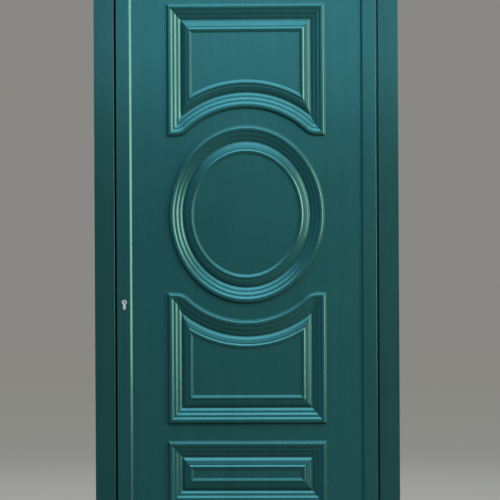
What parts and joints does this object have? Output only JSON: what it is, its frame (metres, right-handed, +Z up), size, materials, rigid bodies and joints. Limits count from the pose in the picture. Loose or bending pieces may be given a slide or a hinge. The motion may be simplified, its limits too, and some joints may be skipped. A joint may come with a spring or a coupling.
{
  "type": "panelled door",
  "caption": "Panelled entrance door in its frame: arched, oval and plain mouldings on a painted leaf that swings inwards, with key lock, inside lever and lift-off hinges.",
  "frame": {"origin": "on the floor, under the middle of the frame's width and depth", "axes": "+Z up the door, +X to the right seen from outside (hinge side), +Y from outside to inside"},
  "size_m": [1, 0.125, 2.15],
  "materials": {
    "frame_paint": "satin dark teal paint",
    "leaf_paint": "satin dark teal paint",
    "board_paint": "satin dark teal paint on moulded board",
    "bare_aluminium": "anodised",
    "seal_rubber": "matt black",
    "block_plastic": "matt",
    "core_foam": "insulating foam",
    "lock_steel": "brushed",
    "hinge_steel": "satin paint",
    "cylinder_nickel": "satin nickel plate",
    "handle_metal": "satin anodised"
  },
  "bodies": {
    "frame": {"lock_jamb": "frame_paint", "hinge_jamb": "frame_paint", "head": "frame_paint", "threshold": "bare_aluminium", "frame_cleats": "bare_aluminium", "frame_seal": "seal_rubber", "strike_plate": "lock_steel", "frame_hinge_halves": "hinge_steel", "hinge_pins": "lock_steel"},
    "leaf": {"lock_stile": "leaf_paint", "hinge_stile": "leaf_paint", "top_rail": "leaf_paint", "bottom_rail": "leaf_paint", "leaf_cleats": "bare_aluminium", "outer_board": "board_paint", "panel_core": "core_foam", "inner_board": "board_paint", "outer_gasket": "seal_rubber", "inner_gasket": "seal_rubber", "setting_blocks": "block_plastic", "top_bead": "leaf_paint", "bottom_bead": "leaf_paint", "lock_bead": "leaf_paint", "hinge_bead": "leaf_paint", "bottom_sweep": "seal_rubber", "leaf_hinge_halves": "hinge_steel", "lock_case": "lock_steel", "lock_cover": "lock_steel", "lock_faceplate": "lock_steel", "cylinder_body": "cylinder_nickel", "handle_plate": "handle_metal"},
    "lever": {"lever_handle": "handle_metal", "spindle": "lock_steel", "follower": "lock_steel"},
    "lever_bolt": {"lever_bolt": "lock_steel"},
    "dead_bolt": {"dead_bolt": "lock_steel"},
    "key_barrel": {"outer_plug": "cylinder_nickel", "inner_plug": "cylinder_nickel", "cam": "lock_steel"}
  },
  "joints": [
    {"name": "door_swing", "type": "hinge", "parent": "frame", "child": "leaf", "pos_m": [0.451, 0.046, 0], "axis": [0, 0, -1], "range_deg": [0, 100]},
    {"name": "lever_turn", "type": "hinge", "parent": "leaf", "child": "lever", "pos_m": [-0.403, 0, 1.037], "axis": [0, -1, 0], "range_deg": [0, 42]},
    {"name": "lever_bolt_slide", "type": "slide", "parent": "leaf", "child": "lever_bolt", "axis": [-1, 0, 0], "range_m": [0, 0.009]},
    {"name": "key_turn", "type": "hinge", "parent": "leaf", "child": "key_barrel", "pos_m": [-0.403, 0, 0.952], "axis": [0, 1, 0], "range_deg": [0, 360]},
    {"name": "dead_bolt_slide", "type": "slide", "parent": "leaf", "child": "dead_bolt", "axis": [-1, 0, 0], "range_m": [0, 0.02]}
  ],
  "couplings": [
    {"joint": "lever_bolt_slide", "follows": "lever_turn", "m_per_rad": 0.01227},
    {"joint": "key_turn", "follows": "dead_bolt_slide", "rad_per_m": 314}
  ]
}
